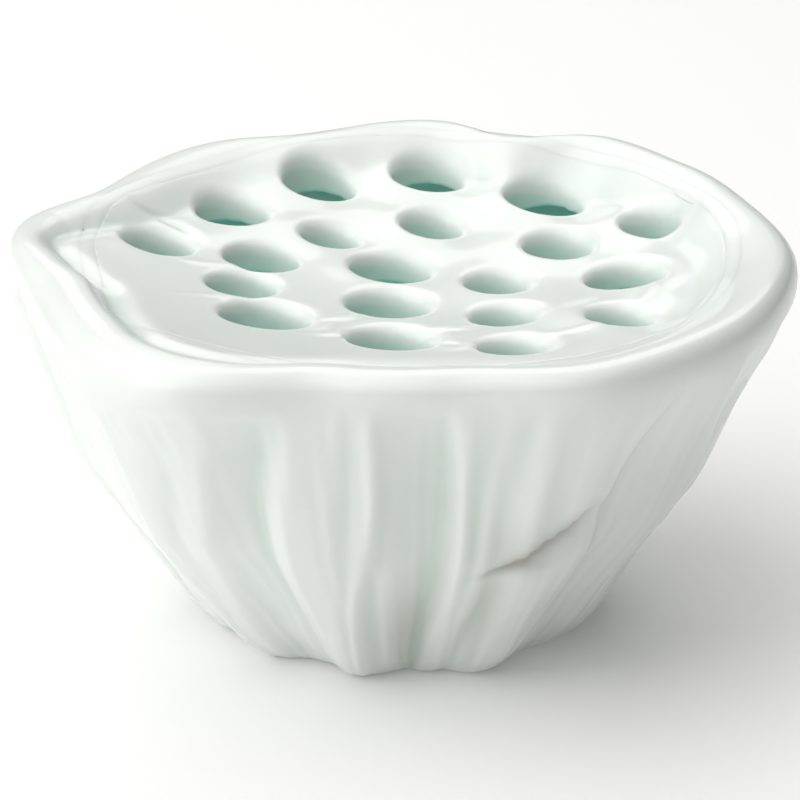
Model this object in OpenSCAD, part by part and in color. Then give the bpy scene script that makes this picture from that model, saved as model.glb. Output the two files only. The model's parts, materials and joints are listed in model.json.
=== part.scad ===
// Flower frog in the shape of a lotus seed pod: a hollow glazed ceramic cup with a fluted wall and
// a rolled lip, closed by a dished plate with twenty stem holes.
// Millimetres, +Z up. The origin is on the table, under the middle of the pod.

/* [Pod] */
// Width that the lobes of the outline are drawn to
pod_w = 115; // [100:1:140]
// Height of the lip's crest at the back, above the table
pod_h = 60; // [56:1:70]
// Thickness of the cast wall
wall_t = 4.4; // [3.6:0.2:5]

/* [Foot] */
// Width that the lobes of the foot are drawn to
foot_w = 58; // [52:1:64]
// Width of the ring that stands on the table
ring_w = 3.5; // [3:0.5:5]
// Depth of the recess inside that ring
recess = 1.5; // [1:0.25:2]
// Thickness of the well's floor
floor_t = 5; // [4:0.5:6]

/* [Lip] */
// Height of the crest above the widest ring of the lip
lip_h = 4; // [3:0.5:5]
// Width of the slip seam between the lip and the plate
seam_w = 1; // [0.8:0.1:1.4]
// Depth of the soft groove along that seam
seam_dip = 0.3; // [0.2:0.1:0.5]

/* [Seed plate] */
// Thickness of the plate
plate_t = 5; // [4.4:0.2:5.6]
// Height of the lowest point of the plate's top, above the table
dish_z = 51.5; // [50:0.5:52]
// Radius of the ball that the dish would fit
dish_r = 240; // [220:10:320]

/* [Stem holes] */
// Radius that rounds the mouth of each hole, where its neighbours leave room
mouth_r = 2; // [1:0.1:2.2]

/* [Glaze] */
// Thickness of the teal glaze on the well's wall
glaze_t = 0.6; // [0.4:0.1:1]
// Thickness of the glaze pooled on the well's floor
pool_t = 2; // [1:0.5:3]

/* [Hidden] */
$fn = 64;

// Samples around the pod; each one is a facet of the cup, the seam, the glaze and the plate's edge
AROUND = 96;
STEP = 360 / AROUND;

// Outline of the lip, as [direction, reach]: reach 1 is half of pod_w. Lobes and hollows alternate.
LIP_REACH = [
    [-164, 0.985], [-124, 1.085], [-100, 0.94], [-84, 0.94], [-60, 1.03], [-40, 1.03], [-12, 1.005],
    [18, 0.975], [38, 1], [56, 1.035], [71, 0.91], [86, 1.01], [109, 0.925], [124, 0.97],
    [154, 0.91], [176, 1.02]
];
// Outline of the foot in the same way: reach 1 is half of foot_w
FOOT_REACH = [
    [-167, 1.05], [-150, 0.96], [-136, 1], [-124, 0.9], [-102, 0.97], [-86, 0.9], [-66, 0.98],
    [-48, 0.89], [-24, 0.97], [0, 1], [25, 0.95], [50, 1.02], [70, 0.95], [95, 1.02], [120, 0.95],
    [145, 1.02]
];
// Drop of the crest below pod_h, as [direction, drop]
LIP_DROP = [[-95, 3], [0, 1], [90, 0], [178, 0.5]];
// Flutes of the wall: [direction under the lip, direction at the foot, depth, half width in degrees]
FLUTES = [
    [-150, -166, 1.6, 13], [-117, -124, 2.4, 11], [-98, -98, 0.5, 5], [-86, -86, 1.8, 8],
    [-76, -70, 0.7, 5], [-56, -44, 1.2, 9], [-30, -20, 1.2, 10], [-6, 4, 1.4, 9], [24, 25, 1.4, 11],
    [70, 70, 1.8, 11], [109, 118, 1.6, 9], [152, 160, 1.8, 12]
];
// Part of a half wave that the depth of a flute follows, from the foot to the lip
FLUTE_START = 0.12;
FLUTE_SPAN = 0.8;
// Fullness of the wall to the left of the pod and to its right, added to the wall's blend at mid height
WALL_FULL_LEFT = 0.07;
WALL_FULL_RIGHT = -0.01;

// Wall from the foot up to the lip, as [blend from foot outline to lip outline, height]
WALL = [
    [0.06, 3], [0.17, 7.5], [0.26, 12], [0.34, 15.5], [0.42, 19], [0.49, 22], [0.56, 25],
    [0.67, 32], [0.76, 38.5], [0.86, 45], [0.95, 50.5]
];
WALL_TOP = 55;
// Lip from its widest ring to the joint, as [part of the way to the joint, part of the drop to it]
LIP = [[0.04, 0.33], [0.16, 0.72], [0.32, 0.96], [0.42, 1], [0.56, 0.96], [0.76, 0.7], [0.92, 0.25]];
CREST_AT = 0.42;
// Rounded edge of the foot: how far the table ring stands in, and the first step of the rounding
FOOT_IN = 2.2;
FOOT_ROUND = [0.6, 0.8];
// Rounding of the well's floor into its wall, as [further in than the wall, height above the floor]
FLOOR_ROUND = [[1.5, 1.2], [6, 0]];
// Rise of the recess's edge inside the table ring
RING_CHAMFER = 1.5;
// Last and first WALL rows that the well's wall follows
WELL_TOP = 9;
WELL_FOOT = 2;

// Edge of the plate, as [direction, reach]: reach 1 is half of pod_w
PLATE_REACH = [
    [-170, 0.8], [-140, 0.86], [-122, 0.82], [-90, 0.72], [-50, 0.79], [-10, 0.83], [25, 0.86],
    [56, 0.88], [72, 0.845], [88, 0.885], [112, 0.84], [138, 0.81], [162, 0.83]
];
// Lowest point of the dish, and the facets of the circle it is turned from
DISH_AT = [6, -4];
BALL_FN = 720;

// Part of the land between two holes that each of their mouths may take
MOUTH_SHARE = 0.45;
// How far the round of a mouth reaches inside the bore and stands above the plate, for a clean cut
MOUTH_BITE = 0.1;
// Stem holes: [across, back, width of the straight bore]
HOLES = [
    [-37, 8.5, 10.5], [-26.5, 24.5, 11], [-13.5, 37, 11], [3.5, 41, 11], [21.5, 32.5, 12],
    [37.3, 19.5, 9], [-11.5, 18, 8.5], [4, 23.5, 9.2], [23, 14.7, 10.3], [32.5, 0.8, 11.4],
    [-21.5, 7.3, 11.2], [-2.2, 7, 12], [13.6, 1, 9.5], [-24, -5, 10.3], [-20.2, -18.3, 12.8],
    [-2.5, -8.8, 12.2], [14.5, -14, 10], [30.8, -17.5, 9.7], [-2, -26, 12.2], [15.4, -30, 10.3]
];

// Value at direction a of a [direction, value] list, eased by a half cosine between neighbours
function around(list, a) =
    let (n = len(list), first = list[0][0], x = first + ((a - first) % 360 + 360) % 360)
    let (k = max([for (i = [0 : n - 1]) if (list[i][0] <= x) i]))
    let (next = list[(k + 1) % n], span = next[0] + (k == n - 1 ? 360 : 0) - list[k][0])
    let (ease = (1 - cos(180 * (x - list[k][0]) / span)) / 2)
    list[k][1] + (next[1] - list[k][1]) * ease;

function mix(a, b, t) = a + (b - a) * t;
function clamp01(t) = min(1, max(0, t));
// Signed turn from direction b to direction a, -180 to 180
function turn(a, b) = ((a - b + 180) % 360 + 360) % 360 - 180;
function polar(r, a, z) = [r * cos(a), r * sin(a), z];

function lip_r(a) = pod_w / 2 * around(LIP_REACH, a);
function foot_r(a) = foot_w / 2 * around(FOOT_REACH, a);
function crest_z(a) = pod_h - around(LIP_DROP, a);
function edge_r(a) = pod_w / 2 * around(PLATE_REACH, a);
function joint_r(a) = edge_r(a) + seam_w;

// Height of the dish at a point, and its tilt away from the lowest point
function dish_way(p) = norm([p[0] - DISH_AT[0], p[1] - DISH_AT[1]]);
function dish_height(p) = dish_z + dish_r - sqrt(pow(dish_r, 2) - pow(dish_way(p), 2));
function dish_tilt(p) = asin(dish_way(p) / dish_r);
function top_z(r, a) = dish_height(polar(r, a, 0));

// Fullness of the wall by direction, and the depth of the flutes at a height t from 0 to 1
function fullness(a) = mix(WALL_FULL_RIGHT, WALL_FULL_LEFT, (1 - cos(a)) / 2);
function flute_depth(a, t) =
    let (parts = [for (f = FLUTES)
        let (off = turn(a, mix(f[1], f[0], t)) / f[3])
        abs(off) < 1 ? f[2] * (1 + cos(180 * off)) / 2 : 0])
    sin(180 * clamp01(FLUTE_START + FLUTE_SPAN * t)) * [for (p = parts) 1] * parts;

// Radius and height of the outer wall in direction a, at blend and height of one WALL row
function wall_point(a, row) =
    let (t = row[1] / WALL_TOP, blend = row[0] + fullness(a) * sin(180 * t))
    let (z = row[1] * mix(1, (crest_z(a) - lip_h) / WALL_TOP, t))
    [mix(foot_r(a), lip_r(a), blend) - flute_depth(a, t), z];
// Radius and height of the rolled lip in direction a
function lip_point(a, row) =
    let (widest = crest_z(a) - lip_h, joint = top_z(joint_r(a), a))
    let (low = row[0] < CREST_AT ? widest : joint)
    [mix(lip_r(a), joint_r(a), row[0]), mix(low, crest_z(a), row[1])];

// Outer profile in direction a, from the foot ring up and over the lip to the joint
function outer(a) = concat(
    [[foot_r(a) - FOOT_IN, 0], [foot_r(a) - FOOT_ROUND[0], FOOT_ROUND[1]]],
    [for (row = WALL) wall_point(a, row)],
    [[lip_r(a), crest_z(a) - lip_h]],
    [for (row = LIP) lip_point(a, row)],
    [[joint_r(a), top_z(joint_r(a), a)]]
);
// Inner profile in direction a, from the underside of the joint down the wall to the floor
function inner(a) =
    let (floor_z = recess + floor_t, base = wall_point(a, WALL[1])[0] - wall_t)
    concat(
        [[joint_r(a), top_z(joint_r(a), a) - plate_t]],
        [for (i = [WELL_TOP : -1 : WELL_FOOT]) wall_point(a, WALL[i]) - [wall_t, 0]],
        [for (f = FLOOR_ROUND) [base - f[0], floor_z + f[1]]]
    );
// Underside in direction a, from the middle out to the table ring
function under(a) =
    let (ring = foot_r(a) - FOOT_IN - ring_w)
    [[ring - RING_CHAMFER, recess], [ring, 0]];
// Glaze skin: face against the cup, and free face, both from the top of the well down to the floor
function glaze_back(a) = [for (i = [1 : len(inner(a)) - 1]) inner(a)[i]];
function glaze_face(a) =
    let (back = glaze_back(a), floor_from = len(back) - len(FLOOR_ROUND))
    [for (i = [0 : len(back) - 1])
        back[i] + (i < floor_from ? [-glaze_t, 0] : [-glaze_t - pool_t, pool_t])];

// Middle of the pod's plan; every node is moved by it, so that the origin is under the middle
SPAN_X = [for (k = [0 : AROUND - 1]) lip_r(k * STEP) * cos(k * STEP)];
SPAN_Y = [for (k = [0 : AROUND - 1]) lip_r(k * STEP) * sin(k * STEP)];
MIDDLE = [(max(SPAN_X) + min(SPAN_X)) / 2, (max(SPAN_Y) + min(SPAN_Y)) / 2, 0];

// Closed solid from profile loops, one per direction. A loop runs from the pole underneath, outwards
// and up, and back inwards to the pole on top.
module poled_shell(loops, pole_a, pole_b) {
    n = len(loops[0]);
    points = concat(
        [for (k = [0 : AROUND - 1], p = loops[k]) polar(p[0], k * STEP, p[1])],
        [[0, 0, pole_a], [0, 0, pole_b]]
    );
    first = AROUND * n;
    faces = concat(
        [for (k = [0 : AROUND - 1], i = [0 : n - 2]) let (m = (k + 1) % AROUND)
            [k * n + i, k * n + i + 1, m * n + i + 1]],
        [for (k = [0 : AROUND - 1], i = [0 : n - 2]) let (m = (k + 1) % AROUND)
            [k * n + i, m * n + i + 1, m * n + i]],
        [for (k = [0 : AROUND - 1]) [first, k * n, ((k + 1) % AROUND) * n]],
        [for (k = [0 : AROUND - 1]) [first + 1, ((k + 1) % AROUND) * n + n - 1, k * n + n - 1]]
    );
    polyhedron(points, faces, convexity = 8);
}

// Closed ring from profile loops, one per direction, each loop closed on itself
module ring_shell(loops) {
    n = len(loops[0]);
    points = [for (k = [0 : AROUND - 1], p = loops[k]) polar(p[0], k * STEP, p[1])];
    faces = concat(
        [for (k = [0 : AROUND - 1], i = [0 : n - 1]) let (m = (k + 1) % AROUND, j = (i + 1) % n)
            [k * n + i, k * n + j, m * n + j]],
        [for (k = [0 : AROUND - 1], i = [0 : n - 1]) let (m = (k + 1) % AROUND, j = (i + 1) % n)
            [k * n + i, m * n + j, m * n + i]]
    );
    polyhedron(points, faces, convexity = 8);
}

// Slip-cast cup: foot ring, fluted wall, rolled lip and hollow well in one shell
module pod_cup() {
    loops = [for (k = [0 : AROUND - 1])
        let (a = k * STEP)
        concat(under(a), outer(a), inner(a))];
    color("#e4ede7") translate(-MIDDLE) poled_shell(loops, recess, recess + floor_t);
}

// Blank of the dished plate: a cap of a ball's shell, with the dish as its upper face
module dish_blank() {
    reach = pod_w / 2 + norm(DISH_AT);
    translate([DISH_AT[0], DISH_AT[1], dish_z + dish_r]) rotate_extrude() difference() {
        circle(r = dish_r + plate_t, $fn = BALL_FN);
        circle(r = dish_r, $fn = BALL_FN);
        translate([-2 * dish_r, -2 * dish_r]) square([2 * dish_r, 4 * dish_r]);
        translate([reach, -2 * dish_r]) square([2 * dish_r, 4 * dish_r]);
        square(2 * dish_r);
    }
}

// Land between a hole and its nearest neighbour, and the mouth radius that it leaves room for
function land(hole) = min([for (other = HOLES) if (other != hole)
    norm([other[0] - hole[0], other[1] - hole[1]]) - (other[2] + hole[2]) / 2]);
function mouth(hole) = min(mouth_r, MOUTH_SHARE * land(hole));

// Cutter of one stem hole: a straight bore with a rounded mouth that faces along the dish's slope
module stem_hole(hole) {
    r = hole[2] / 2;
    round = mouth(hole);
    reach = r + round - MOUTH_BITE;
    lift = pow(reach, 2) / (2 * dish_r) + MOUTH_BITE / 2;
    z = dish_height(hole);
    tilt = dish_tilt(hole);
    away = atan2(hole[1] - DISH_AT[1], hole[0] - DISH_AT[0]);
    translate([hole[0], hole[1], z - 2 * plate_t]) cylinder(r = r, h = 3 * plate_t);
    translate([hole[0], hole[1], z]) rotate([0, 0, away])
        translate([(lift - round) * sin(tilt), 0, 0]) rotate([0, -tilt, 0])
        translate([0, 0, lift]) rotate_extrude() difference() {
            translate([0, -round]) square([reach, 2 * round]);
            translate([reach, -round]) circle(r = round);
        }
}

// Dished plate with twenty stem holes
module seed_plate() {
    edge = [for (k = [0 : AROUND - 1]) edge_r(k * STEP) * [cos(k * STEP), sin(k * STEP)]];
    color("#dfece6") translate(-MIDDLE) difference() {
        intersection() {
            dish_blank();
            translate([0, 0, dish_z - 2 * plate_t]) linear_extrude(height = 5 * plate_t) polygon(edge);
        }
        for (hole = HOLES) stem_hole(hole);
    }
}

// Ring of slip that joins the plate to the lip, with a soft groove along its top
module slip_seam() {
    loops = [for (k = [0 : AROUND - 1])
        let (a = k * STEP, r0 = edge_r(a), r1 = joint_r(a), rm = (r0 + r1) / 2)
        [[r1, top_z(r1, a) - plate_t], [r1, top_z(r1, a)], [rm, top_z(rm, a) - seam_dip],
         [r0, top_z(r0, a)], [r0, top_z(r0, a) - plate_t], [rm, top_z(rm, a) - plate_t]]];
    color("#cfe2d8") translate(-MIDDLE) ring_shell(loops);
}

// Teal glaze that lines the well and pools on its floor
module well_glaze() {
    loops = [for (k = [0 : AROUND - 1])
        let (a = k * STEP, back = glaze_back(a))
        concat([for (i = [len(back) - 1 : -1 : 0]) back[i]], glaze_face(a))];
    color("#4da091") translate(-MIDDLE) poled_shell(loops, recess + floor_t, recess + floor_t + pool_t);
}

pod_cup();
seed_plate();
slip_seam();
well_glaze();
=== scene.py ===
"""Looks of the celadon lotus-pod flower frog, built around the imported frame. Metres, +Z up."""

import json
import math

import bmesh
import bpy
import numpy as np
from mathutils import Matrix, Vector


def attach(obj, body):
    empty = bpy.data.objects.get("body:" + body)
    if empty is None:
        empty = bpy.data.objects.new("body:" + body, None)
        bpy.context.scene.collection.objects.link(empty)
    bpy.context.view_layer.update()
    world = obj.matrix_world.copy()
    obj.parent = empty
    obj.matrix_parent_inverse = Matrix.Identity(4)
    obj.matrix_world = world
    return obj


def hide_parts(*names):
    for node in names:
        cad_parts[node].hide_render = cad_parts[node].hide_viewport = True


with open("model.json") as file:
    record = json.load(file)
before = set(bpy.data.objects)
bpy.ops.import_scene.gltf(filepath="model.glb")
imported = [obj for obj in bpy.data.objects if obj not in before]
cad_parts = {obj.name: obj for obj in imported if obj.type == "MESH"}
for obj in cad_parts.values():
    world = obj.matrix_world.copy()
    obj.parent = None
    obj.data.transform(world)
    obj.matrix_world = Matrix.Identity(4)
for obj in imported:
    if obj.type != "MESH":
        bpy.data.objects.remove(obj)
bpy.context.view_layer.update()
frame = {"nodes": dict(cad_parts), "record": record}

# Shapes are worked out in millimetres about the pod's own axis, and turned into metres in the mesh.
MM = 0.001
TURN = 2 * math.pi
# Directions that the fine shells are turned through
FINE = 768
WAYS = np.arange(FINE) * 360 / FINE

# Places in a profile of the CAD cup: end of the underside, last wall row kept as it is, widest ring of
# the lip, its crest, the joint with the plate
RING, SHOULDER, WIDEST, CREST, JOINT = 1, 13, 15, 19, 23
# Fine rows along each stretch of a profile
WALL_ROWS, LIP_ROWS, WELL_ROWS, SEAM_ROWS, PLATE_ROWS, LINING_ROWS = 86, 16, 22, 17, 50, 60
# Place of the ring above the shoulder, as parts of the way out to the widest ring and up to the lip's round
SHOULDER_OUT, SHOULDER_UP = 0.64, 0.5
# Softness of a stem hole's mouth, the part of the land beside it that it may take, how much softer it
# is on the side that MOUTH_WAY points to, and the sides of the cutter that opens the bore
MOUTH_SOFT = 1.9
MOUTH_SHARE = 0.8
MOUTH_BACK = 0.6
MOUTH_WAY = (0.5, 0.85)
BORE_SIDES = 64
# Lip: [direction, width and height of its outer round, width of its inner slope, fullness of that
# slope, depth of the moat inside it]. The moat's place and width are parts of the slope's width.
MOAT_AT, MOAT_WIDTH = 1.1, 0.55
LIP = [
    [-179, 2.6, 3, 4, 2.4, 0.8], [-169, 4, 4, 4.2, 2.6, 1.1], [-158, 6, 5, 4.4, 2.8, 1.2],
    [-142, 6, 5, 4, 3, 1.3], [-132, 4.8, 4.6, 4, 3, 1.2], [-118, 4, 3.8, 5, 2.6, 0.9],
    [-90, 3.4, 3.2, 7, 2.2, 0.8], [-55, 3.2, 3.2, 8, 2, 0.6], [-20, 3, 3.2, 11, 1.7, 0.5],
    [20, 3, 3, 13, 1.6, 0.4], [60, 3, 2.8, 12, 1.6, 0.4], [75, 3, 2.8, 9, 1.8, 0.5],
    [92, 3, 2.8, 11, 1.7, 0.4], [130, 3, 2.8, 12, 1.7, 0.4], [165, 2.6, 3, 8, 2, 0.7],
]
# Fold lines of the wall from left to right, each as [height, direction, offset out of the wall] down
# the line. The wall runs straight from one line to the next, so an offset below 0 is the bottom of a
# groove and one above 0 is the top of a ridge.
FOLDS = [
    [[50, -150, 0], [20, -152, 0.2], [0, -154, 0]],
    [[48, -140, -0.3], [39, -138, -1.4], [28, -137, -1.7], [17, -139, -1.7], [0, -137, -1.2]],
    [[48, -138, 0.1], [39, -136.3, 0.5], [28, -135.3, 0.8], [17, -137.3, 0.8], [0, -135, 0.5]],
    [[50, -124, -0.4], [38, -127, -0.8], [28, -130, -0.8], [10, -133, -0.2], [0, -133, 0]],
    [[51, -118, 0.2], [40, -121, 1.0], [28, -124, 1.1], [14, -128, 1.0], [0, -130, 0.5]],
    [[54, -110.5, -1.2], [47, -112, -2.6], [36, -115, -2.9], [26, -116, -2.8], [16, -116, -2.2],
     [0, -113, -0.8]],
    [[54, -106, 0.2], [36, -110, 0.3], [20, -111, 0.4], [0, -108, 0.5]],
    [[52, -100.5, 0.7], [37, -102, 1.2], [26, -103, 1.3], [0, -106, 0.8]],
    [[52, -98, 0.2], [37, -99.5, 0.5], [26, -101, 0.9], [0, -104, 0.6]],
    [[53, -95, 0.8], [37, -95, 1.7], [26, -97, 1.8], [16, -101, 1.6], [0, -103, 0.8]],
    [[53, -93, -0.2], [37, -93, -0.4], [26, -94.5, -0.4], [16, -98, -0.4], [0, -100, -0.2]],
    [[55, -84.7, -1.1], [36, -83, -2.0], [20, -83.5, -2.1], [7, -87, -1.5], [0, -88, -0.9]],
    [[55, -82.5, 0.4], [36, -80.5, 1.1], [26, -80, 1.3], [16, -81, 1.1], [8, -83.5, 0.8], [0, -85, 0.4]],
    [[52, -77.5, -0.2], [39, -78, -0.5], [28, -77.5, -0.3], [16, -78, 0.4], [8, -81, 0.5], [0, -82.5, 0.3]],
    [[52, -75, 0.1], [37, -75.6, 0.3], [24, -75.5, 0.4], [16, -75.5, 0.2], [8, -79, 0], [0, -80, 0]],
    [[53, -72, -0.4], [36, -73, -0.7], [26, -73, -0.6], [16, -72.5, -1.0], [8, -75.5, -1.2], [0, -77, -0.8]],
    [[53, -69, 0.3], [40, -68.5, 0.6], [30, -69, 0.5], [16, -67, 0.4], [0, -70, 0.4]],
    [[52, -66.5, -0.2], [35, -65.5, -0.5], [30, -66, -0.4], [16, -62, 0.5], [0, -64, 0.4]],
    [[52, -61, 0.1], [38, -61.5, 0.3], [30, -61, 0.3], [16, -56, 0.2], [0, -61, 0.2]],
    [[52, -50.5, 0.2], [48, -52.5, 0.6], [43, -54, 0.7], [37, -56, 0.6], [30, -56, 0.3], [18, -53, 0.4],
     [4, -58, 0.4], [0, -60, 0.2]],
    [[53, -48.5, -0.3], [48, -50.5, -0.8], [43, -51.5, -0.9], [36, -52.5, -0.8], [27, -53, -0.6],
     [18, -50.5, -1.0], [12, -51.5, -1.2], [4, -56, -1.0], [0, -58, -0.6]],
    [[52, -43, 0.1], [40, -43, 0.4], [26, -47, 0.2], [12, -46, 0.2], [0, -50, 0.3]],
    [[52, -37, 0.3], [44, -34.5, 0.8], [36, -31, 0.9], [31, -33, 0.9], [20, -37, 0.7], [0, -38, 0.3]],
    [[52, -34.5, -0.4], [44, -32, -1.0], [36, -28.5, -1.2], [31, -30.5, -1.1], [20, -34, -0.8],
     [0, -35, -0.5]],
    [[50, -24, 0.2], [30, -22, 0.4], [0, -24, 0.3]],
    [[52, -13, -1.0], [30, -9, -1.3], [0, -6, -0.8]], [[52, -10, 0.5], [30, -6, 0.7], [0, -3, 0.4]],
    [[50, 1, -0.4], [0, 6, -0.5]], [[52, 9, 0.7], [0, 12, 0.6]], [[52, 12, -0.8], [0, 15, -0.8]],
    [[50, 20, 0.3], [0, 21, 0.2]], [[52, 31, -1.3], [0, 29, -1.0]], [[52, 34, 0.6], [0, 32, 0.5]],
    [[50, 44, -0.4], [0, 42, -0.3]], [[52, 56, 0.8], [0, 57, 0.6]], [[52, 59, -0.7], [0, 60, -0.7]],
    [[50, 69, 0.1], [0, 68, 0.1]], [[52, 78, -1.3], [0, 77, -1.0]], [[52, 81, 0.7], [0, 80, 0.5]],
    [[50, 90, -0.4], [0, 91, -0.3]], [[52, 100, 0.7], [0, 103, 0.6]], [[52, 103, -0.8], [0, 106, -0.8]],
    [[50, 111, 0.2], [0, 114, 0.2]], [[52, 118, -1.2], [0, 122, -0.9]], [[52, 121, 0.6], [0, 125, 0.5]],
    [[50, 131, -0.4], [0, 135, -0.4]], [[52, 143, 0.7], [0, 148, 0.6]], [[52, 146, -0.8], [0, 151, -0.8]],
    [[50, 156, 0.2], [0, 160, 0.2]], [[52, 164, -1.1], [0, 169, -0.9]], [[52, 167, 0.6], [0, 172, 0.5]],
    [[50, 177, -0.3], [0, 181, -0.3]], [[52, 187, 0.7], [0, 189, 0.5]], [[52, 190, -0.7], [0, 192, -0.7]],
    [[50, 200, 0.1], [0, 200, 0.1]],
]
# Height over which the folds fade out under the lip, and rounds of softening of their lines
FOLD_FADE = 5
FOLD_SOFT = 2
# Crease across the wall: [height, direction] along it, depth below it, rise above it, width of each
# and of the step between them, and the height over which each end fades
CREASE = [[35, -58], [30, -63], [28, -66], [24, -71], [21, -78]]
CREASE_DEPTH, CREASE_RISE, CREASE_WIDTH, CREASE_STEP, CREASE_FADE = 2.2, 0.5, 6, 1, 4
# Painted shade, tinted brown: its distance past the crease on the sunken side under the fold, its width
# there, and the places low down on the wall painted darker, as [direction, height, half width, half height,
# strength]
PAINTED_SHADE_AT = 0.8
PAINTED_SHADE_WIDTH = 2.2
PAINTED_SHADE_SPOTS = [[-66, 27, 6, 5, 0.4], [-90, 8, 4, 9, 0.45], [-72, 14, 3, 9, 0.3], [-40, 24, 14, 16, 0.3]]
# Fine streaks that run down the wall, as [waves around, height], and the height in which they wander
STREAKS = [[57, 0.035], [97, 0.03], [143, 0.02]]
STREAK_WANDER = 11
# Extra lean of each stem hole's mouth, in degrees down to the right, and how far round it that reaches
LEAN = [2, -2, 7, 6, 12, 12, 6, 7, 4, -5, 0, 3, 2, 0, 0, 0, -3, 8, 0, 0]
LEAN_REACH = 3.5
# Wrinkles of the glaze on top: [across, back, direction, half length, height]
WRINKLES = [
    [-9, -17, 25, 3.5, 0.3], [-11.5, -22, 50, 2.5, 0.25], [-10, -25.5, 20, 3, 0.3], [7, -20.5, 8, 4, 0.25],
    [6, -27.5, 160, 4, 0.3], [8.5, -31, 30, 3, 0.25], [17, -17.5, 12, 5, 0.25], [-24, -12, 165, 6, 0.2],
    [-39.5, 18.8, 0, 4.5, -0.45], [-33, 15, 130, 4.5, -0.4], [-53.5, 11, 145, 4, -0.5],
    [24, -24, 20, 6, 0.2], [36, -8, 70, 6, 0.25], [-28, 2, 10, 5, 0.2],
]
WRINKLE_WIDTH = 0.9
WRINKLE_CURVE = 0.05
# The seam: how far its feather edges lap onto the plate and onto the lip, and its height between them
SEAM_LAP = 1.2
SEAM_FILM = 0.012
SEAM_SINK = 0.03
# Drop of the plate's edge under the seam, and the gap between that edge and the CAD plate's
EDGE_DROP = 0.12
EDGE_GAP = 0.3
# Size of the faces that the plate is remeshed with, and the rounds that soften the glaze's hollowness
VOXEL = 0.45
POOL_SOFT = 3
# Brownish grey that the painted shade under the crease and low on the wall multiplies the glaze's colour by
PAINTED_SHADE_TINT = (0.62, 0.58, 0.56)
# Soft lamps: [name, place in metres, width, power]
LAMPS = [
    ["key", (-0.7, -0.1, 1.1), 1.8, 12.0], ["left", (-1.0, -0.5, 0.75), 1.4, 4.8],
    ["low_left", (-1.2, -0.3, 0.35), 1.2, 2.0], ["front", (0, -0.9, 0.95), 0.8, 1.9],
    ["overhead", (0, 0, 1.3), 1.6, 6.0], ["back", (0, 0.9, 0.9), 0.8, 3.6],
]


# ---------------------------------------------------------------- reading the frame

def cad_rows(node):
    """Profiles of a turned CAD shell as (radius, height), one per direction, and the axis they turn about."""
    mesh = bmesh.new()
    mesh.from_mesh(frame["nodes"][node].data)
    bmesh.ops.remove_doubles(mesh, verts=mesh.verts, dist=0.005 * MM)
    poles = sorted((v for v in mesh.verts if len(v.link_edges) > 50), key=lambda v: v.co.z)
    axis = poles[0].co.copy()
    count = len(poles[0].link_edges)

    def way(v):
        return round(math.atan2(v.co.y - axis.y, v.co.x - axis.x) / TURN * count) % count

    rows = []
    for start in sorted((e.other_vert(poles[0]) for e in poles[0].link_edges), key=way):
        row, seen, here = [], set(poles), start
        while here is not None:
            row.append((math.hypot(here.co.x - axis.x, here.co.y - axis.y), here.co.z))
            seen.add(here)
            near = [e.other_vert(here) for e in here.link_edges]
            here = next((v for v in near if v not in seen and way(v) == way(start)), None)
        rows.append(row)
    mesh.free()
    return np.array(rows) / MM, np.array(axis[:2]) / MM


def seam_rings():
    """Radii of the plate's edge and the joint by direction, the dish's ball, and the plate's thickness."""
    points = np.array([v.co for v in frame["nodes"]["slip_seam"].data.vertices]) / MM
    points = np.unique(np.round(points, 3), axis=0)
    points[:, :2] -= AXIS
    way = np.round(np.degrees(np.arctan2(points[:, 1], points[:, 0])) / 360 * len(CUP)).astype(int) % len(CUP)
    edge, joint, upper, thick = [], [], [], []
    for k in range(len(CUP)):
        here = points[way == k]
        reach = np.hypot(here[:, 0], here[:, 1])
        edge.append(reach.min())
        joint.append(reach.max())
        inner = here[reach < reach.min() + 0.05]
        upper.append(inner[np.argmax(inner[:, 2])])
        thick.append(np.ptp(inner[:, 2]))
    upper = np.array(upper)
    terms = np.c_[2 * upper, np.ones(len(upper))]
    ball = np.linalg.lstsq(terms, (upper ** 2).sum(1), rcond=None)[0]
    radius = math.sqrt(ball[3] + (ball[:3] ** 2).sum())
    return np.array(edge), np.array(joint), ball[:3], radius, np.mean(thick)


def stem_holes():
    """Centre and radius of each stem hole, about the pod's axis."""
    bores = [m for m in frame["record"]["mounts"] if m["kind"] == "bore"]
    places = np.array([m["pos_m"][:2] for m in bores]) / MM - AXIS
    return np.c_[places, [m["dims"]["r_mm"] for m in bores]]


# ---------------------------------------------------------------- smooth curves through the rows

def around(rows, ways):
    """Values of the rows at any direction in degrees, by a cubic that closes on itself."""
    step = np.asarray(ways) / 360 * len(rows)
    k = np.floor(step).astype(int)
    t = (step - k).reshape(-1, *[1] * (rows.ndim - 1))
    a, b, c, d = (rows[(k + j) % len(rows)] for j in (-1, 0, 1, 2))
    return b + 0.5 * t * (c - a + t * (2 * a - 5 * b + 4 * c - d + t * (3 * (b - c) + d - a)))


def along(rows, places):
    """Points of each row at places counted in its points, by a cubic through them."""
    chords = np.linalg.norm(np.diff(rows, axis=1), axis=2).mean(0)
    knots = np.r_[0, np.cumsum(chords)]
    slope = np.gradient(rows, knots, axis=1)
    i = np.clip(np.floor(places).astype(int), 0, len(knots) - 2)
    t = (places - i)[:, None]
    span = (knots[i + 1] - knots[i])[:, None]
    a, b = rows[:, i], rows[:, i + 1]
    out, into = slope[:, i] * span, slope[:, i + 1] * span
    return ((1 + 2 * t) * (1 - t) ** 2 * a + t * (1 - t) ** 2 * out
            + t * t * (3 - 2 * t) * b + t * t * (t - 1) * into)


def soft_max(a, b, soft):
    """The higher of two surfaces, blended where they are within soft of each other."""
    near = np.maximum(soft - np.abs(a - b), 0) / soft
    return np.maximum(a, b) + near * near * soft / 4


def ease(t):
    """Smooth step from 0 to 1."""
    t = np.clip(t, 0, 1)
    return t * t * (3 - 2 * t)


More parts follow.
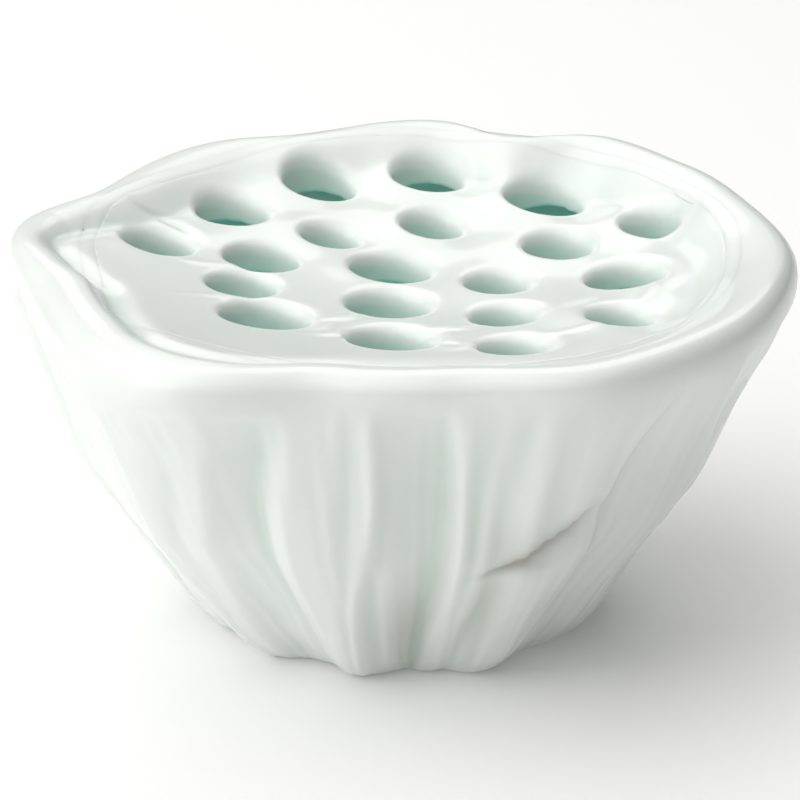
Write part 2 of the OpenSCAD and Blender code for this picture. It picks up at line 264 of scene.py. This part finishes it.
def listed(table, way):
    """Columns of a [direction, value, ...] list at any directions, eased between its rows."""
    table = np.array(table, float)
    table = table[np.argsort(table[:, 0])]
    turns = np.concatenate([table, table[:1]])
    turns[-1, 0] += 360
    way = (np.asarray(way) - table[0, 0]) % 360 + table[0, 0]
    k = np.clip(np.searchsorted(turns[:, 0], way, side="right") - 1, 0, len(turns) - 2)
    t = ease((way - turns[k, 0]) / (turns[k + 1, 0] - turns[k, 0]))
    return [turns[k, c] + (turns[k + 1, c] - turns[k, c]) * t for c in range(1, turns.shape[1])]


def with_lip(rows):
    """CAD rows of the cup with the lip's own round above the shoulder of the wall."""
    rows = rows.copy()
    wide, high = listed(LIP, np.arange(len(rows)) * 360 / len(rows))[:2]
    reach, crest, low = rows[:, WIDEST, 0], rows[:, CREST, 1], rows[:, SHOULDER]
    rows[:, SHOULDER + 1, 0] = low[:, 0] + (reach - low[:, 0]) * SHOULDER_OUT
    rows[:, SHOULDER + 1, 1] = low[:, 1] + (crest - high - low[:, 1]) * SHOULDER_UP
    for i in range(WIDEST, CREST + 1):
        angle = (i - WIDEST) / (CREST - WIDEST) * math.pi / 2
        rows[:, i, 0] = reach - wide * (1 - math.cos(angle))
        rows[:, i, 1] = crest - high * (1 - math.sin(angle))
    return rows


CUP, AXIS = cad_rows("pod_cup")
CUP = with_lip(CUP)
EDGE, JOINT_R, BALL, BALL_R, PLATE_THICK = seam_rings()
BALL_LOW = BALL[2] - BALL_R
HOLES = stem_holes()
CUP_FINE = around(CUP, WAYS)
EDGE_FINE = around(EDGE, WAYS)
JOINT_FINE = around(JOINT_R, WAYS)


# ---------------------------------------------------------------- top surface of lip, seam and plate

def dish(x, y):
    """Height of the dish, which is part of a ball."""
    return BALL[2] - np.sqrt(BALL_R ** 2 - (x - BALL[0]) ** 2 - (y - BALL[1]) ** 2)


def leaning(x, y):
    """Drop of the top where the mouths of the stem holes lean to the right."""
    total = np.zeros(np.shape(x))
    for hole, lean in zip(HOLES, LEAN):
        away = np.hypot(x - hole[0], y - hole[1]) / (hole[2] + LEAN_REACH)
        total = total + math.tan(math.radians(lean)) * (x - hole[0]) * np.exp(-away ** 4)
    return total


def top(x, y):
    """Height of the top inside the crest of the lip, before the stem holes."""
    reach, way = np.hypot(x, y), np.degrees(np.arctan2(y, x))
    crest = around(CUP[:, CREST], way)
    width, full, moat = listed(LIP, way)[2:]
    inward = np.maximum(crest[:, 0] - reach, 0) / width
    base = dish(x, y) - leaning(x, y)
    roll = (1 - np.clip(inward, 0, 1) ** full) ** 2
    hollow = moat * np.exp(-((inward - MOAT_AT) / MOAT_WIDTH) ** 2)
    return base - hollow * (1 - roll) + (crest[:, 1] - base) * roll + wrinkled(x, y) * (1 - roll)


def wrinkled(x, y):
    """Height of the wrinkles of the glaze."""
    total = np.zeros(np.shape(x))
    for across, back, way, half, size in WRINKLES:
        c, s = math.cos(math.radians(way)), math.sin(math.radians(way))
        u, v = (x - across) * c + (y - back) * s, (y - back) * c - (x - across) * s
        v = v - WRINKLE_CURVE * u * u
        total = total + size * np.exp(-(u / half) ** 2 - (v / WRINKLE_WIDTH) ** 2)
    return total


def underside(x, y):
    """Height of the plate's lower face."""
    return dish(x, y) - PLATE_THICK


def land_beside(hole):
    """Least land between a stem hole and the others."""
    gaps = np.hypot(*(HOLES[:, :2] - hole[:2]).T) - HOLES[:, 2] - hole[2]
    return np.min(gaps[gaps > -hole[2]])


def slab(points):
    """Signed distance, roughly, to the plate with its stem holes: negative inside the clay."""
    x, y, z = points.T
    over = z - top(x, y)
    for hole, land in zip(HOLES, LANDS):
        away = np.maximum(np.hypot(x - hole[0], y - hole[1]), 0.01)
        back = (MOUTH_WAY[1] * (y - hole[1]) + MOUTH_WAY[0] * (x - hole[0])) / away
        soft = min(MOUTH_SOFT, MOUTH_SHARE * land) * (1 + MOUTH_BACK * back)
        over = soft_max(over, hole[2] - away, soft)
    return over


LANDS = [land_beside(hole) for hole in HOLES]


# ---------------------------------------------------------------- meshes

def add(name, mesh, material, nodes):
    """Puts a finished mesh into the scene as a piece that stands for its CAD nodes."""
    piece = bpy.data.objects.new(name, mesh)
    bpy.context.scene.collection.objects.link(piece)
    mesh.shade_smooth()
    mesh.materials.clear()
    mesh.materials.append(material)
    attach(piece, "root")
    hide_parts(*nodes)
    return piece


def turned(name, table, pool, painted_shade=None):
    """Closed mesh: a flat grid wrapped round the axis and set to table[direction, point]."""
    count = table.shape[1]
    mesh = bmesh.new()
    bmesh.ops.create_grid(mesh, x_segments=FINE, y_segments=count - 1, size=0.5)
    layer = mesh.verts.layers.float.new("pool")
    # Painted shade per point, which darkens the glaze towards brownish grey
    dark = mesh.verts.layers.float.new("painted_shade")
    for v in mesh.verts:
        k, i = round((v.co.x + 0.5) * FINE) % FINE, round((v.co.y + 0.5) * (count - 1))
        v.co = table[k, i] * MM
        v[layer] = pool[k, i]
        if painted_shade is not None:
            v[dark] = painted_shade[k, i]
    bmesh.ops.remove_doubles(mesh, verts=mesh.verts, dist=0.0002 * MM)
    bmesh.ops.recalc_face_normals(mesh, faces=mesh.faces)
    data = bpy.data.meshes.new(name)
    mesh.to_mesh(data)
    mesh.free()
    return data


def placed(rows):
    """Points of the fine rows, from (radius, height) to x, y and z in the frame."""
    angle = np.radians(WAYS)[:, None]
    x = rows[..., 0] * np.cos(angle) + AXIS[0]
    y = rows[..., 0] * np.sin(angle) + AXIS[1]
    return np.stack([x, y, rows[..., 1]], axis=-1)


def on_top(reach):
    """Heights of the top surface at fine rows of reaches."""
    angle = np.radians(WAYS)[:, None]
    x, y = reach * np.cos(angle), reach * np.sin(angle)
    return top(x.ravel(), y.ravel()).reshape(reach.shape)


def bend(table):
    """Hollowness of a fine table of points: above 0 in a hollow, below 0 on a ridge, per mm."""
    right, left = np.roll(table, -1, 0), np.roll(table, 1, 0)
    up, down = np.roll(table, -1, 1), np.roll(table, 1, 1)
    normal = np.cross(right - left, up - down)
    normal /= np.maximum(np.linalg.norm(normal, axis=2, keepdims=True), 1e-9)
    total = 0
    for a, b in ((right, left), (up, down)):
        width = (np.linalg.norm(a - table, axis=2) + np.linalg.norm(b - table, axis=2)) / 2
        total = total + ((a + b - 2 * table) * normal).sum(2) / np.maximum(width, 0.05) ** 2
    return total


def softened(values, rounds):
    """Values averaged with their neighbours around and along the table."""
    for _ in range(rounds):
        values = (values + np.roll(values, 1, 0) + np.roll(values, -1, 0)) / 3
        padded = np.pad(values, ((0, 0), (1, 1)), mode="edge")
        values = (padded[:, :-2] + padded[:, 1:-1] + padded[:, 2:]) / 3
    return values


def hollow_at(points, step=0.8):
    """Hollowness of the slab's surface at points, from how its distance curves."""
    here = slab(points)
    total = -6 * here
    for axis in range(3):
        for side in (-step, step):
            moved = points.copy()
            moved[:, axis] += side
            total = total + slab(moved)
    return -total / step ** 2


def fold_offsets(heights):
    """Offset of the wall at every direction and height, straight from each fold line to the next."""
    shift = np.zeros((FINE, len(heights)))
    for j, height in enumerate(heights):
        ways, offsets = [], []
        for line in FOLDS:
            rise, way, offset = np.array(line[::-1]).T
            ways.append(np.interp(height, rise, way))
            offsets.append(np.interp(height, rise, offset))
        shift[:, j] = np.interp(WAYS, ways, offsets, period=360)
    return softened(shift, FOLD_SOFT)


def past(way, reach):
    """Distance round the wall from a direction to every fine one, at a reach from the axis."""
    return np.radians((WAYS[:, None] - way + 180) % 360 - 180) * reach


def folded(outer, places):
    """Outer rows of the cup pushed in and out by folds, crease and streaks, and how much brown painted shade
    they get.
    """
    reach, height = outer[..., 0], outer[..., 1]
    shift = fold_offsets(height.mean(0))
    for waves, size in STREAKS:
        swing = np.radians(WAYS[:, None]) * waves + np.sin(height / STREAK_WANDER + waves)
        shift += size * np.sin(swing)
    lip_row = WIDEST * len(places) // CREST
    shift *= ease((height[:, lip_row][:, None] - height) / FOLD_FADE)
    heights, ways = np.array(CREASE[::-1], float).T
    off = past(np.interp(height, heights, ways), reach)
    side = ease(off / CREASE_STEP / 2 + 0.5)
    ends = ease((height - heights[0]) / CREASE_FADE) * ease((heights[-1] - height) / CREASE_FADE)
    shift += (CREASE_RISE * (1 - side) - CREASE_DEPTH * side) * np.exp(-(off / CREASE_WIDTH) ** 2) * ends
    # Painted shade: a brown-tinted darker band just past the crease, under the fold, and darker spots low on
    # the wall
    painted_shade = np.exp(-((off - PAINTED_SHADE_AT) / PAINTED_SHADE_WIDTH) ** 2) * ends
    for way, middle, wide, high, size in PAINTED_SHADE_SPOTS:
        painted_shade += size * np.exp(-(past(way, reach) / wide) ** 2 - ((height - middle) / high) ** 2)
    outer = outer.copy()
    outer[..., 0] += shift * ease(places - RING)
    return outer, painted_shade


def pod_cup(material):
    """Cup: folded wall up to the crest of the lip, the lip's inner face, and the well's wall."""
    places = np.linspace(0, CREST, WALL_ROWS)
    outer, dark = folded(along(CUP_FINE[:, :CREST + 1], places), places)
    outer[..., 1] = np.maximum(outer[..., 1], 0)
    share = np.linspace(1, 0, LIP_ROWS)[None, 1:]
    crest, joint = CUP_FINE[:, CREST, :1], JOINT_FINE[:, None]
    reach = joint + (crest - joint) * share
    face = np.stack([reach, on_top(reach)], axis=-1)
    inner = along(CUP_FINE[:, JOINT + 1:], np.linspace(0, CUP.shape[1] - JOINT - 2, WELL_ROWS))
    first, last = outer[:, :1].copy(), inner[:, -1:].copy()
    first[..., 0] = last[..., 0] = 0
    rows = np.concatenate([first, outer, face, inner, last], axis=1)
    table = placed(rows)
    pool = softened(bend(table), POOL_SOFT)
    start = 1 + outer.shape[1]
    end = start + face.shape[1]
    pool[:, start:end] = hollow_at(table[:, start:end].reshape(-1, 3) - [*AXIS, 0]).reshape(FINE, -1)
    # Painted shade of the crease and the lower wall, on the outer wall only
    painted_shade = np.zeros(pool.shape)
    painted_shade[:, 1:start] = dark
    return add("pod_shell", turned("pod_shell", table, pool, painted_shade), material, ["pod_cup"])


def slip_seam(material):
    """Film of slip over the joint, whose feather edges dive under the lip's and the plate's glaze."""
    share = np.linspace(-1, 1, SEAM_ROWS)[None]
    outer, inner = JOINT_FINE[:, None] + SEAM_LAP, EDGE_FINE[:, None] - SEAM_LAP
    reach = (outer + inner) / 2 - (outer - inner) / 2 * share
    lift = SEAM_FILM - (SEAM_FILM + SEAM_SINK) * ease((np.abs(share) - 0.3) / 0.7)
    upper = np.stack([reach, on_top(reach) + lift], axis=-1)
    low = PLATE_THICK * 0.6
    foot_in = np.stack([EDGE_FINE[:, None], upper[:, -1:, 1] - low], axis=-1)
    foot_out = np.stack([JOINT_FINE[:, None], upper[:, :1, 1] - low], axis=-1)
    rows = np.concatenate([upper, foot_in, foot_out, upper[:, :1]], axis=1)
    table = placed(rows)
    flat = table.reshape(-1, 3) - [*AXIS, 0]
    pool = hollow_at(flat).reshape(table.shape[:2])
    return add("joint_slip", turned("joint_slip", table, pool), material, ["slip_seam"])


def plate_blank():
    """Plain plate with straight bores, remeshed finely enough to take the soft mouths."""
    share = np.linspace(0, 1, PLATE_ROWS)[None]
    reach = (EDGE_FINE[:, None] - EDGE_GAP) * share
    upper = np.stack([reach, on_top(reach)], axis=-1)
    under = upper[:, ::-1].copy()
    angle = np.radians(WAYS)[:, None]
    inward = reach[:, ::-1]
    under[..., 1] = underside(inward * np.cos(angle), inward * np.sin(angle))
    rows = np.concatenate([upper, under], axis=1)
    table = placed(rows)
    plate = bpy.data.objects.new("blank", turned("blank", table, np.zeros(table.shape[:2])))
    punch = bmesh.new()
    for x, y, r in HOLES:
        spot = Matrix.Translation(((x + AXIS[0]) * MM, (y + AXIS[1]) * MM, BALL_LOW * MM))
        bmesh.ops.create_cone(punch, cap_ends=True, segments=BORE_SIDES, radius1=r * MM, radius2=r * MM,
                              depth=8 * PLATE_THICK * MM, matrix=spot)
    data = bpy.data.meshes.new("punches")
    punch.to_mesh(data)
    punch.free()
    punches = bpy.data.objects.new("punches", data)
    for made in (plate, punches):
        bpy.context.scene.collection.objects.link(made)
    cut = plate.modifiers.new("bores", "BOOLEAN")
    cut.operation, cut.solver, cut.object = "DIFFERENCE", "EXACT", punches
    remesh = plate.modifiers.new("fine", "REMESH")
    remesh.mode, remesh.voxel_size = "VOXEL", VOXEL * MM
    bpy.context.view_layer.update()
    mesh = bpy.data.meshes.new_from_object(plate.evaluated_get(bpy.context.evaluated_depsgraph_get()))
    for made in (plate, punches):
        bpy.data.objects.remove(made)
    return mesh


def seed_plate(material):
    """Plate whose upper side and bores are drawn onto the soft top surface and mouths."""
    mesh = plate_blank()
    mesh.name = "plate"
    points = np.zeros(len(mesh.vertices) * 3)
    mesh.vertices.foreach_get("co", points)
    points = settle(points.reshape(-1, 3) / MM - [*AXIS, 0])
    pool = hollow_at(points)
    mesh.vertices.foreach_set("co", ((points + [*AXIS, 0]) * MM).ravel())
    mesh.attributes.new("pool", "FLOAT", "POINT").data.foreach_set("value", pool.astype(np.float32))
    mesh.update()
    return add("seed_plate_glazed", mesh, material, ["seed_plate"])


def settle(points, rounds=4, nudge=0.05):
    """Moves points that are near the plate's upper surface or bores onto them."""
    reach, way = np.hypot(points[:, 0], points[:, 1]), np.degrees(np.arctan2(points[:, 1], points[:, 0]))
    under = points[:, 2] - underside(points[:, 0], points[:, 1])
    hold = ease((under - 0.1) / 0.5) * ease((around(EDGE, way) - reach - 0.4) / 0.5)
    for _ in range(rounds):
        here = slab(points)
        grade = np.stack([(slab(points + nudge * axis) - here) / nudge for axis in np.eye(3)], axis=1)
        size = np.maximum((grade ** 2).sum(1), 0.2)
        step = np.clip(here / size, -1, 1) * hold
        points = points - step[:, None] * grade
    edge = ease((SEAM_LAP * 0.8 - around(EDGE, way) + reach) / 0.6) * (under > PLATE_THICK / 2)
    points[:, 2] -= EDGE_DROP * edge
    return points


def well_glaze(material):
    """Teal glaze on the well's wall and floor."""
    rows, _ = cad_rows("well_glaze")
    fine = along(around(rows, WAYS), np.linspace(0, rows.shape[1] - 1, LINING_ROWS))
    first, last = fine[:, :1].copy(), fine[:, -1:].copy()
    first[..., 0] = last[..., 0] = 0
    table = placed(np.concatenate([first, fine, last], axis=1))
    pool = softened(bend(table), POOL_SOFT)
    return add("well_lining", turned("well_lining", table, pool), material, ["well_glaze"])


# ---------------------------------------------------------------- glazes

def shader(name):
    """New node material with its Principled shader."""
    material = bpy.data.materials.new(name)
    material.use_nodes = True
    return material, material.node_tree.nodes, material.node_tree.links


def celadon(name, thin, thick):
    """Pale celadon: nearly white where it ran thin over ridges, greener where it pooled, and darkened towards
    brownish grey where painted shade is laid on.
    """
    material, nodes, links = shader(name)
    skin = nodes["Principled BSDF"]
    skin.inputs["Roughness"].default_value = 0.35
    skin.inputs["IOR"].default_value = 1.45
    skin.inputs["Coat Weight"].default_value = 0.35
    skin.inputs["Coat Roughness"].default_value = 0.06
    skin.inputs["Subsurface Weight"].default_value = 0.35
    skin.inputs["Subsurface Radius"].default_value = (1, 0.95, 0.85)
    skin.inputs["Subsurface Scale"].default_value = 1.5 * MM
    pool = nodes.new("ShaderNodeAttribute")
    pool.attribute_name = "pool"
    place = nodes.new("ShaderNodeTexCoord")
    cloud = nodes.new("ShaderNodeTexNoise")
    cloud.inputs["Scale"].default_value = 70
    cloud.inputs["Detail"].default_value = 2
    links.new(place.outputs["Object"], cloud.inputs["Vector"])
    mix = nodes.new("ShaderNodeMath")
    mix.operation = "MULTIPLY_ADD"
    mix.inputs[1].default_value = 0.5
    links.new(cloud.outputs["Fac"], mix.inputs[0])
    links.new(pool.outputs["Fac"], mix.inputs[2])
    ramp = nodes.new("ShaderNodeValToRGB")
    ramp.color_ramp.elements[0].position = 0.1
    ramp.color_ramp.elements[0].color = (*thin, 1)
    ramp.color_ramp.elements[1].position = 0.8
    ramp.color_ramp.elements[1].color = (*thick, 1)
    links.new(mix.outputs["Value"], ramp.inputs["Fac"])
    # Painted shade: the crease band and lower-wall spots multiply the glaze's colour towards brownish grey
    tinge = nodes.new("ShaderNodeAttribute")
    tinge.attribute_name = "painted_shade"
    brown = nodes.new("ShaderNodeMix")
    brown.data_type = "RGBA"
    brown.blend_type = "MULTIPLY"
    brown.inputs["B"].default_value = (*PAINTED_SHADE_TINT, 1)
    links.new(tinge.outputs["Fac"], brown.inputs["Factor"])
    links.new(ramp.outputs["Color"], brown.inputs["A"])
    links.new(brown.outputs["Result"], skin.inputs["Base Color"])
    return material


def teal(name):
    """Teal celadon of the well, glossy, with a faint painted glow for the light that reaches the well."""
    material, nodes, _ = shader(name)
    skin = nodes["Principled BSDF"]
    skin.inputs["Base Color"].default_value = (0.3, 0.73, 0.66, 1)
    skin.inputs["Roughness"].default_value = 0.2
    # Painted light: a faint teal glow that lights the well though it is no lamp
    skin.inputs["Emission Color"].default_value = (0.12, 0.45, 0.4, 1)
    skin.inputs["Emission Strength"].default_value = 0.2
    return material


# ---------------------------------------------------------------- studio

def studio():
    """Pale floor, soft sky and the soft lamps."""
    mesh = bmesh.new()
    bmesh.ops.create_grid(mesh, x_segments=1, y_segments=1, size=3)
    data = bpy.data.meshes.new("floor")
    mesh.to_mesh(data)
    mesh.free()
    floor = bpy.data.objects.new("floor", data)
    bpy.context.scene.collection.objects.link(floor)
    white = bpy.data.materials.new("floor_white")
    white.use_nodes = True
    skin = white.node_tree.nodes["Principled BSDF"]
    skin.inputs["Base Color"].default_value = (0.93, 0.925, 0.915, 1)
    skin.inputs["Roughness"].default_value = 0.9
    skin.inputs["Emission Color"].default_value = (1, 1, 1, 1)
    skin.inputs["Emission Strength"].default_value = 0.1
    data.materials.append(white)
    world = bpy.data.worlds.new("sky")
    bpy.context.scene.world = world
    world.use_nodes = True
    world.node_tree.nodes["Background"].inputs["Color"].default_value = (1, 1, 1, 1)
    world.node_tree.nodes["Background"].inputs["Strength"].default_value = 0.04
    for name, place, size, power in LAMPS:
        lamp(name, place, size, power)


def lamp(name, place, size, power):
    """Square soft lamp that faces the pod."""
    light = bpy.data.lights.new(name, "AREA")
    light.size = size
    light.energy = power
    made = bpy.data.objects.new(name, light)
    made.location = place
    made.rotation_euler = (Vector((0, 0, 0.04)) - Vector(place)).to_track_quat("-Z", "Y").to_euler()
    bpy.context.scene.collection.objects.link(made)


def camera():
    """Long lens a little above the rim, aimed lower than the plate so that the pod sits low in the frame."""
    aim, far, above = Vector((0.00058, -0.00188, 0.056)), 0.575, math.radians(19)
    data = bpy.data.cameras.new("camera")
    data.lens, data.sensor_width = 175.5, 36
    made = bpy.data.objects.new("camera", data)
    made.location = aim + far * Vector((0, -math.cos(above), math.sin(above)))
    turn = Matrix.Rotation(math.radians(0.0735), 3, "Z")
    made.rotation_euler = (turn @ Matrix.Rotation(math.radians(90 - 21.115), 3, "X")).to_euler()
    bpy.context.scene.collection.objects.link(made)
    bpy.context.scene.camera = made


pale = celadon("pale_celadon", (0.87, 0.908, 0.874), (0.75, 0.835, 0.768))
pod_cup(pale)
slip_seam(pale)
seed_plate(pale)
well_glaze(teal("teal_celadon"))
studio()
camera()
bpy.context.scene.view_settings.view_transform = "Standard"
